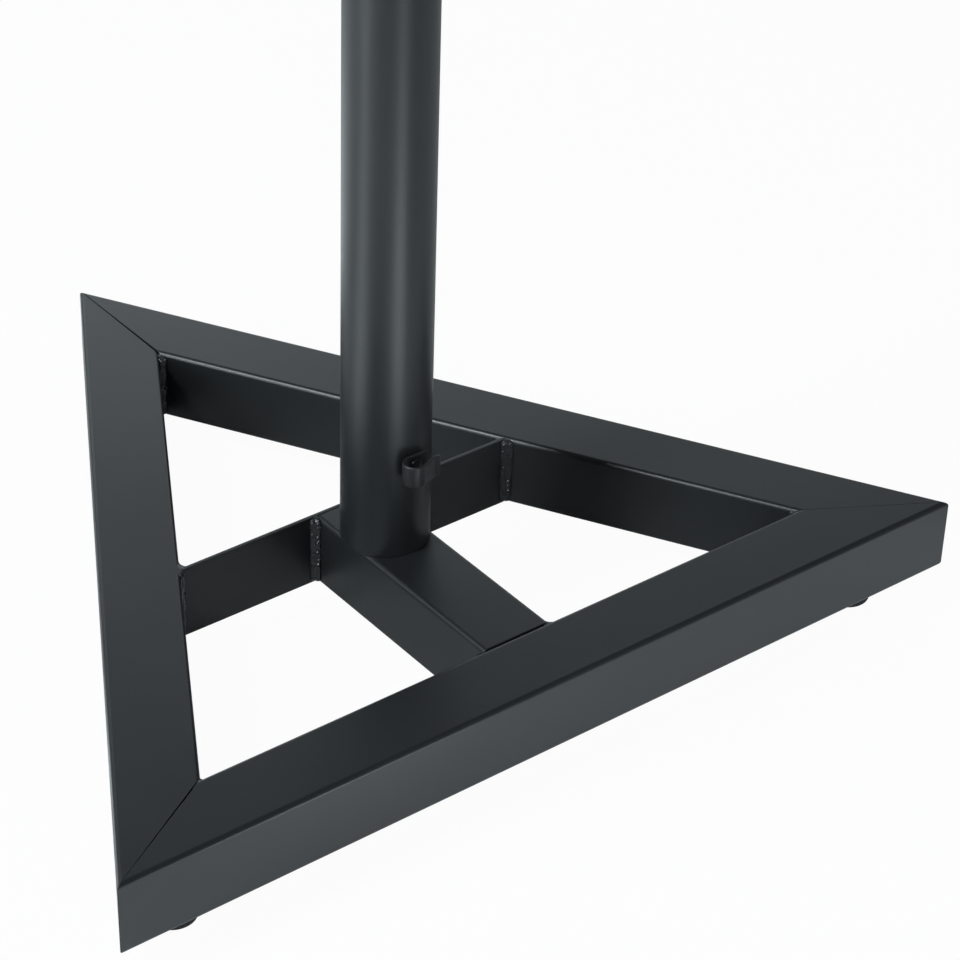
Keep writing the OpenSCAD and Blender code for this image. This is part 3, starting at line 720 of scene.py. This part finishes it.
def make_collar():
    tall = collar_high.z - collar_low.z
    bore, ring = POLE + SLIDING_FIT, POLE + COLLAR_WALL
    lower_groove = [(ring, 6.6), (ring - 0.7, 7.2), (ring - 0.7, 8.8), (ring, 9.4)]
    upper_groove = [(radius, tall - height) for radius, height in reversed(lower_groove)]
    collar = turned("clamp_collar_ring", [(bore, 0), (ring, 0, 2), *lower_groove, *upper_groove, (ring, tall, 2),
                                          (bore, tall)], (0, AXIS_Y, collar_low.z), steps=120, ring=True)
    reach = collar_high.y - AXIS_Y
    clamp = (0, AXIS_Y, CLAMP_Z)
    boss = turned("clamp_boss", [(0, 20), (13.2, 20), (13.2, 24.6), (11.8, 27.2), (11, 30.5), (11, reach, 1),
                                 (0, reach)], clamp, TO_REAR, steps=72)
    combine(collar, boss, "UNION")
    drill(collar, bore, (0, AXIS_Y, collar_low.z), (0, 0, 0), tall + 5, steps=120, begin=-5)
    drill(collar, STUD_HOLE, clamp, TO_REAR, reach + 5)
    drill(collar, SHOE_HOLE, clamp, TO_REAR, SHOE_END)
    drill(collar, INSERT_HOLE, clamp, TO_REAR, reach + 5, begin=reach - INSERT_DEPTH)
    hand_over(collar, "stand", ["clamp_collar"], "black_plastic", angle=32)
    sleeve_low, sleeve_high = corners("guide_sleeve")
    deep, top = pole_high.z - sleeve_low.z, sleeve_high.z - sleeve_low.z
    skirt = POLE - POLE_WALL - SLIDING_FIT
    sleeve = turned("guide_sleeve_bush", [(SLEEVE_BORE, 0), (skirt, 0, 0.4), (skirt, deep), (POLE, deep, 0.2),
                                          (POLE, top, 0.9), (SLEEVE_BORE, top, 0.6)],
                    (0, AXIS_Y, sleeve_low.z), steps=96, ring=True)
    drill(sleeve, SHOE_HOLE, clamp, TO_REAR, THROUGH_WALL)
    hand_over(sleeve, "stand", ["guide_sleeve"], "black_plastic")
    screw = button_screw("collar_button_screw", (0, AXIS_Y - ring, CLAMP_Z), TO_FRONT, shank=2.5, head=4.5, rise=2.5,
                         length=COLLAR_WALL + 1.8)
    hand_over(screw, "stand", ["collar_screw"], "black_steel")


def make_knob():
    """The knob is drawn flat, from the pole's axis along Z, built up in rings of its outline and then turned."""
    clamp = (0, AXIS_Y, CLAMP_Z)
    low, high = corners("clamp_knob")
    size, begin, end = (high.x - low.x) / 2, low.y - AXIS_Y, high.y - AXIS_Y
    scoop_depth, scoop_half, scoop_spacing = 1.75, 19, 60
    rim = begin + 3.5
    outline = []
    for angle in range(0, 360, 3):
        off = (angle + scoop_spacing / 2) % scoop_spacing - scoop_spacing / 2
        radius = size - scoop_depth * (1 + math.cos(math.pi * min(abs(off) / scoop_half, 1)))
        outline.append(away((0, 0), math.radians(angle), radius, rim))
    knob = draw_face("clamp_star_knob", outline)
    height, girth = rim, 0.9
    swell(girth, (0, 0, height))
    quarter = [math.radians(15 * k) for k in range(7)]
    lower_edge = [(rim + 2.1 * (1 - math.cos(a)), 0.9 + 0.1 * math.sin(a)) for a in quarter[1:]]
    upper_edge = [(end - 3 + 3 * math.sin(a), 0.86 + 0.14 * math.cos(a)) for a in quarter]
    dish = [(end, 0.66), (end - 0.2, 0.63), (end - 0.7, 0.6), (end - 0.9, 0.56)]
    for wanted_height, wanted in lower_edge + upper_edge + dish:
        pull(0, 0, wanted_height - height)
        swell(wanted / girth, (0, 0, wanted_height))
        height, girth = wanted_height, wanted
    outward_and_close()
    settle(knob, clamp, TO_REAR)
    neck = turned("knob_neck", [(0, begin), (9, begin, 0.8), (9, begin + 5), (0, begin + 5)], clamp, TO_REAR,
                  steps=64)
    combine(knob, neck, "UNION")
    drill(knob, KNOB_HOLE, clamp, TO_REAR, end - 6, begin=begin - 1)
    hand_over(knob, "clamp_screw", ["clamp_knob"], "black_plastic", angle=32)
    low, high = corners("clamp_stud")
    tip, root, radius = low.y - AXIS_Y, high.y - AXIS_Y, (high.x - low.x) / 2
    core = radius - 0.7
    thread = [(0, tip), (radius - 1, tip), (radius - 0.75, tip + 0.4)]
    height = tip + 1
    while height < begin + 1:
        thread += [(radius, height), (radius, height + 0.25), (core, height + 0.62), (core, height + 0.75)]
        height += STUD_PITCH
    thread += [(radius, height + 0.5), (radius, root), (0, root)]
    stud = turned("clamp_threaded_stud", thread, clamp, TO_REAR, steps=48)
    hand_over(stud, "clamp_screw", ["clamp_stud"], "plated_steel", angle=25)


make_collar()
make_knob()


# Mast and tilting head.

mast_low, mast_high = corners("inner_pole")
fork_low, fork_high = corners("head_fork")
tilt_low, tilt_high = corners("tilt_bracket")
plate_low, plate_high = corners("sign_plate")
PIVOT_Z = (tilt_low.z + tilt_high.z) / 2
MAST_WALL, FORK_CAP, EAR = 1.5, 6, 5
PIVOT_HOLE, TONGUE_HOLE, SIGN_HOLE = 4.05, 4.08, 2.75
SIGN_SQUARE, SCREW_SQUARE = 100, 36


def make_mast():
    radius, length = (mast_high.x - mast_low.x) / 2, mast_high.z - mast_low.z
    inside = radius - MAST_WALL
    mast = turned("inner_pole_tube", [(inside, 0), (radius, 0, 0.4), (radius, length, 0.4), (inside, length)],
                  (0, AXIS_Y, mast_low.z), steps=112, ring=True)
    hand_over(mast, "mast", ["inner_pole"], "coated_steel")
    plug, cap = mast_high.z - fork_low.z, mast_high.z + FORK_CAP
    spigot = inside - SLIDING_FIT
    fork = turned("head_fork_casting", [(0, 0), (spigot, 0, 1), (spigot, plug), (radius, plug, 0.2),
                                        (radius, plug + FORK_CAP, 1.2), (0, plug + FORK_CAP)],
                  (0, AXIS_Y, fork_low.z), steps=96)
    outside = corners("pivot_nut")[0].x
    round_top = fork_high.z - PIVOT_Z
    for side in (-1, 1):
        x0, x1 = sorted((side * (outside - EAR), side * outside))
        ear = block("fork_ear", (x0, AXIS_Y - round_top, cap - 3), (x1, AXIS_Y + round_top, fork_high.z))
        round_edges(ear, lambda a, b: min(a.z, b.z) > fork_high.z - 0.1 and abs(a.x - b.x) > 2,
                    width=round_top - NEAR, segments=14)
        round_edges(ear, lambda a, b: abs(a.x - b.x) < NEAR and max(a.z, b.z) > cap - 2.5, width=0.7, segments=3)
        combine(fork, ear, "UNION")
    drill(fork, PIVOT_HOLE, (0, AXIS_Y, PIVOT_Z), TO_RIGHT, 40, begin=-40)
    hand_over(fork, "mast", ["head_fork"], "coated_steel", angle=32)
    low, high = corners("fork_screws")
    screws = [button_screw("fork_screw", (side * radius, AXIS_Y, (low.z + high.z) / 2), turn, shank=2.5, head=4.5,
                           rise=2.4, length=9) for side, turn in ((1, TO_RIGHT), (-1, TO_LEFT))]
    hand_over(join("fork_button_screws", screws), "mast", ["fork_screws"], "black_steel")
    low, high = corners("pivot_bolt")
    bolt = button_screw("pivot_button_bolt", (-outside, AXIS_Y, PIVOT_Z), TO_LEFT, shank=4, head=7.2, rise=5,
                        length=high.x - low.x - 5, key=2.9)
    hand_over(bolt, "mast", ["pivot_bolt"], "black_steel")
    nut = turned("pivot_lock_nut", [
        (PIVOT_HOLE, 0, 0.2), (6.9, 0), (7.5, 0.5), (7.5, 4.3), (6.8, 4.9), (5.6, 5.1), (5.6, 6.5, 0.5),
        (PIVOT_HOLE, 6.5, 0.3)], (outside, AXIS_Y, PIVOT_Z), TO_RIGHT, steps=6, ring=True)
    drill(nut, PIVOT_HOLE, (outside, AXIS_Y, PIVOT_Z), TO_RIGHT, 8, begin=-1)
    hand_over(nut, "mast", ["pivot_nut"], "black_steel", angle=25)


def square_of(spacing, y):
    """The four corners of an upright square about the pivot's height."""
    return [(sx * spacing / 2, y, PIVOT_Z + sz * spacing / 2) for sx in (-1, 1) for sz in (-1, 1)]


def make_sign_head():
    eye, tongue_half = 12.0, 5
    front, back = tilt_low.y, tilt_low.y + 4
    half = (tilt_high.x - tilt_low.x) / 2
    bracket = block("tilt_bracket_flange", (-half, front, PIVOT_Z - half), (half, back, PIVOT_Z + half))
    round_edges(bracket, lambda a, b: abs(a.y - b.y) > 2, width=4, segments=6)
    round_edges(bracket, lambda a, b: abs(a.y - b.y) < NEAR, width=0.6, segments=3)
    tongue = block("tilt_tongue", (-tongue_half, back - 1, PIVOT_Z - eye), (tongue_half, AXIS_Y + eye, PIVOT_Z + eye))
    round_edges(tongue, lambda a, b: min(a.y, b.y) > AXIS_Y + eye - 0.1 and abs(a.x - b.x) > 2,
                width=eye - NEAR, segments=14)
    round_edges(tongue, lambda a, b: abs(a.x - b.x) < NEAR and max(a.y, b.y) > back - 0.5, width=0.6, segments=3)
    combine(bracket, tongue, "UNION")
    drill(bracket, TONGUE_HOLE, (0, AXIS_Y, PIVOT_Z), TO_RIGHT, 20, begin=-20)
    hand_over(bracket, "sign_head", ["tilt_bracket"], "coated_steel", angle=32)
    plate = block("sign_carrier_plate", plate_low, plate_high)
    round_edges(plate, lambda a, b: abs(a.y - b.y) > 2, width=12, segments=10)
    face = plate_low.y
    for hole, seat in zip(square_of(SIGN_SQUARE, face), square_of(SCREW_SQUARE, face)):
        drill(plate, SIGN_HOLE, hole, TO_REAR, 6, begin=-2)
        sink = turned("countersink", [(0, -4), (2.55, -4), (2.55, -2.6), (4.65, 0), (4.65, 1), (0, 1)],
                      seat, TO_FRONT, steps=48)
        combine(plate, sink, "DIFFERENCE")
    soften(plate, width=0.45, segments=3, angle=50)
    hand_over(plate, "sign_head", ["sign_plate"], "coated_steel", angle=32)
    screws = []
    for seat in square_of(SCREW_SQUARE, face):
        screw = turned("plate_screw", [(0, -8), (2.5, -8, 0.4), (2.5, -2.6), (4.6, 0, 0.15), (0, 0)],
                       seat, TO_FRONT, steps=48)
        drill(screw, 1.75, seat, TO_FRONT, 1, steps=6, begin=-1.6)
        screws.append(screw)
    hand_over(join("plate_countersunk_screws", screws), "sign_head", ["plate_screws"], "black_steel", angle=30)


make_mast()
make_sign_head()


# Fixings under the pole, and a finish for the nodes that are shown as the CAD has them.

def make_pole_bolt():
    low, high = corners("pole_bolt")
    length, foot = high.z - low.z, (0, AXIS_Y, low.z)
    bolt = turned("pole_hex_bolt", [(0, 0), (8.6, 0), (9.8, 0.8), (9.8, 6), (0, 6)], foot, steps=6)
    shank = turned("bolt_shank", [(0, 3), (5, 3), (5, length, 0.8), (0, length)], foot, steps=48)
    combine(bolt, shank, "UNION")
    hand_over(bolt, "stand", ["pole_bolt"], "plated_steel", angle=25)
    low, high = corners("pole_bolt_washer")
    washer = turned("pole_flat_washer", [(5.5, 0, 0.2), (12, 0, 0.3), (12, 2, 0.3), (5.5, 2, 0.2)],
                    (0, AXIS_Y, low.z), steps=64, ring=True)
    hand_over(washer, "stand", ["pole_bolt_washer"], "plated_steel")


def finish_nodes():
    slots = {part["node"]: part["material_slot"] for part in frame["record"]["subparts"]}
    for name, node in frame["nodes"].items():
        node.data.materials.clear()
        node.data.materials.append(FINISHES[slots[name]])


make_pole_bolt()
finish_nodes()


# Floor, world and lamps. The floor and the world are white to the camera and dim to the part.

FLOOR_SEEN, FLOOR_MIRRORED, FLOOR_THROUGH = 0.96, 0.03, 0.95
WORLD_LIGHT, WORLD_SEEN = 0.08, 0.89
LAMP_COLOUR = (0.9, 1.0, 1.04)
KEY_PLACE, KEY_AIM, KEY_SIZE = (-1.0, -0.02, 1.25), (0.1, 0, 0.05), (0.25, 0.25)


def add_floor():
    floor = start("studio_floor", bpy.ops.mesh.primitive_plane_add, size=14)
    f = Finish("pale_floor")
    camera = f.node("ShaderNodeLightPath", out="Is Camera Ray")
    gloss = f.node("ShaderNodeLightPath", out="Is Glossy Ray")
    through = f.node("ShaderNodeLightPath", out="Is Transmission Ray")
    white = (camera * FLOOR_SEEN + gloss * FLOOR_MIRRORED + through * FLOOR_THROUGH).at_most(1.0)
    matte = f.node("ShaderNodeBsdfDiffuse", None, {"Color": (0.8, 0.8, 0.8, 1)})
    glow = f.node("ShaderNodeEmission", None, {"Color": (1, 1, 1, 1), "Strength": 1.0})
    mixed = f.node("ShaderNodeMixShader", None, {0: white, 1: matte, 2: glow})
    floor.data.materials.append(f.surface(mixed))


def add_world():
    world = bpy.data.worlds.new("studio_world")
    scene.world = world
    f = Finish("studio_world", world)
    camera = f.node("ShaderNodeLightPath", out="Is Camera Ray")
    through = f.node("ShaderNodeLightPath", out="Is Transmission Ray")
    level = WORLD_LIGHT + (camera + through).at_most(1.0) * WORLD_SEEN
    shade = f.node("ShaderNodeBackground", None, {"Color": (1, 1, 1, 1), "Strength": level})
    f.surface(shade)


def add_lamp(name, at, aim, size, power, fill=True, glint=True):
    """A soft rectangular lamp. Without fill it shows only in highlights, and without glint in none."""
    light = bpy.data.lights.new(name, "AREA")
    light.shape, light.size, light.size_y, light.energy = "RECTANGLE", size[0], size[1], power
    light.color = LAMP_COLOUR
    lamp = bpy.data.objects.new(name, light)
    lamp.visible_camera = False
    lamp.visible_diffuse, lamp.visible_glossy = fill, glint
    scene.collection.objects.link(lamp)
    way = Vector(aim) - Vector(at)
    lamp.matrix_world = Matrix.Translation(at) @ way.to_track_quat("-Z", "Y").to_matrix().to_4x4()


def add_panel(name, at, size, power):
    """A lamp lying just above the floor, facing up, for the light that a white floor throws back."""
    add_lamp(name, at, (at[0], at[1], 1), size, power)


add_floor()
add_world()
add_lamp("rear_softbox", (0.62, 2.25, 0.95), (0, 0, 0.05), (1.6, 0.8), 8.2)
add_lamp("rear_right_softbox", (1.7, 1.6, 0.9), (0, 0, 0.05), (1.2, 0.8), 4.4)
add_lamp("front_right_softbox", (1.3, -1.6, 1.0), (0, 0, 0.2), (1.0, 1.4), 19, glint=False)
add_lamp("left_strip_light", (-1.7, 0.13, 0.55), (0, -0.07, 0.3), (0.4, 1.1), 15.8)
add_lamp("left_key_light", KEY_PLACE, KEY_AIM, KEY_SIZE, 11)
add_lamp("left_glint_light", KEY_PLACE, KEY_AIM, KEY_SIZE, 11.5, fill=False)
add_lamp("rear_left_light", (-0.95, 1.05, 0.9), (0, -0.1, 0.05), (0.3, 0.3), 1.1)
add_panel("left_floor_panel", (-0.55, -0.01, 0.01), (0.7, 0.15), 0.56)
add_lamp("front_low_light", (-0.155, -1.06, 0.15), (0, -0.07, 0.25), (0.2, 0.25), 0.55)
add_panel("front_floor_panel", (-0.065, -0.49, 0.01), (0.14, 0.37), 0.63)
add_panel("rail_floor_panel", (-0.03, -0.292, 0.005), (0.66, 0.172), 0.14)
add_panel("rear_floor_panel", (-0.1, 0.42, 0.01), (0.44, 0.35), 0.44)
